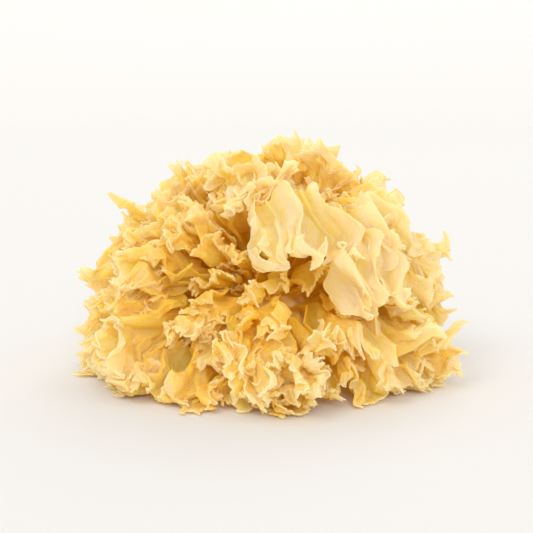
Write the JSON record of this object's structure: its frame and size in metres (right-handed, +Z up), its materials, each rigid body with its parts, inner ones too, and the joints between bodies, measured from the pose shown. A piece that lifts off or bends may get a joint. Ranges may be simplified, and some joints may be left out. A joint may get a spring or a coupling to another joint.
{
  "type": "snow fungus",
  "caption": "Dried head of snow fungus: thin crisp ruffled fronds, cream at the margins and amber in the hollows, in a dense rosette on a small hard base cut off flat.",
  "frame": {"origin": "middle of the flat cut under the base, where the head was cut from the wood it grew on", "axes": "+Z up out of the cut through the crown; -Y is the front, with the broad smooth membranes up to the right and the hollow on the left; +X is to the right seen from the front"},
  "size_m": [0.1001, 0.0998, 0.0621],
  "materials": {
    "frond": "dry, translucent, cream at the margin and amber toward the root",
    "base": "matt, hard, amber to brown, with shallow pleats and a pale cut"
  },
  "bodies": {
    "root": {"cut_base": "base", "rim_frond_01": "frond", "rim_frond_02": "frond", "rim_frond_03": "frond", "rim_frond_04": "frond", "rim_frond_05": "frond", "rim_frond_06": "frond", "rim_frond_07": "frond", "rim_frond_08": "frond", "rim_frond_09": "frond", "rim_frond_10": "frond", "rim_frond_11": "frond", "rim_frond_12": "frond", "side_frond_01": "frond", "side_frond_02": "frond", "side_frond_03": "frond", "side_frond_04": "frond", "side_frond_05": "frond", "side_frond_06": "frond", "side_frond_07": "frond", "side_frond_08": "frond", "side_frond_09": "frond", "side_frond_10": "frond", "side_frond_11": "frond", "shoulder_frond_01": "frond", "shoulder_frond_02": "frond", "shoulder_frond_03": "frond", "shoulder_frond_04": "frond", "shoulder_frond_05": "frond", "shoulder_frond_06": "frond", "shoulder_frond_07": "frond", "shoulder_frond_08": "frond", "crown_frond_01": "frond", "crown_frond_02": "frond", "crown_frond_03": "frond"}
  },
  "joints": []
}
